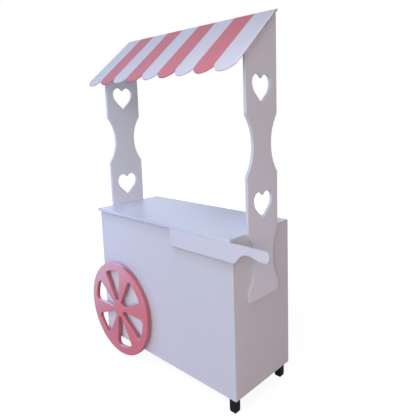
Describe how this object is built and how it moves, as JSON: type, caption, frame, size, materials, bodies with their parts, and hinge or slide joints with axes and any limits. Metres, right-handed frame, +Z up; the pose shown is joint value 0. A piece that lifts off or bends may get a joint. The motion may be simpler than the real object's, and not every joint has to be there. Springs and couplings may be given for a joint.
{
  "type": "vending cart",
  "caption": "Painted board vending cart with an open-backed cabinet, shaped uprights with heart cut-outs, a sloping scalloped canopy, a push handle and a turning front wheel.",
  "frame": {"origin": "on the floor, under the middle of the whole cart's outline", "axes": "+X towards the handle end, +Y from the wheel side to the open back, +Z up"},
  "size_m": [1.5425, 0.534, 2.115],
  "materials": {
    "white_paint": "white satin paint on board",
    "pink_paint": "rose pink satin paint on board",
    "striped_paint": "white and rose pink painted stripes, satin, on board",
    "black_plastic": "moulded, matte",
    "nylon": "natural nylon",
    "zinc_steel": "zinc plated",
    "brass": "turned",
    "bare_wood": "sawn softwood, bare"
  },
  "bodies": {
    "cart": {"countertop": "white_paint", "front_panel": "white_paint", "base_panel": "white_paint", "centre_divider": "white_paint", "rear_rail": "white_paint", "left_side_panel": "white_paint", "right_side_panel": "white_paint", "left_shelf": "white_paint", "right_shelf": "white_paint", "left_upright": "white_paint", "right_upright": "white_paint", "left_cleat": "white_paint", "right_cleat": "white_paint", "handle_board": "white_paint", "canopy_board": "striped_paint", "hub_boss": "pink_paint", "axle_bush": "nylon", "corner_blocks": "bare_wood", "shelf_pins": "zinc_steel", "upright_inserts": "brass", "upright_bolts": "zinc_steel", "canopy_screws": "zinc_steel", "cleat_screws": "zinc_steel", "handle_screws": "zinc_steel", "leg_screws": "zinc_steel", "front_left_leg": "black_plastic", "front_right_leg": "black_plastic", "rear_left_leg": "black_plastic", "rear_right_leg": "black_plastic"},
    "wheel_set": {"wheel": "pink_paint", "wheel_axle": "zinc_steel", "axle_locknut": "zinc_steel", "flange_screws": "zinc_steel"},
    "front_left_foot": {"front_left_leveller": "black_plastic"},
    "front_right_foot": {"front_right_leveller": "black_plastic"},
    "rear_left_foot": {"rear_left_leveller": "black_plastic"},
    "rear_right_foot": {"rear_right_leveller": "black_plastic"}
  },
  "joints": [
    {"name": "wheel_turn", "type": "hinge", "parent": "cart", "child": "wheel_set", "pos_m": [-0.45775, -0.223, 0.316], "axis": [0, 1, 0], "continuous": true},
    {"name": "front_left_levelling", "type": "slide", "parent": "cart", "child": "front_left_foot", "axis": [0, 0, -1], "range_m": [0, 0.012]},
    {"name": "front_right_levelling", "type": "slide", "parent": "cart", "child": "front_right_foot", "axis": [0, 0, -1], "range_m": [0, 0.012]},
    {"name": "rear_left_levelling", "type": "slide", "parent": "cart", "child": "rear_left_foot", "axis": [0, 0, -1], "range_m": [0, 0.012]},
    {"name": "rear_right_levelling", "type": "slide", "parent": "cart", "child": "rear_right_foot", "axis": [0, 0, -1], "range_m": [0, 0.012]}
  ]
}
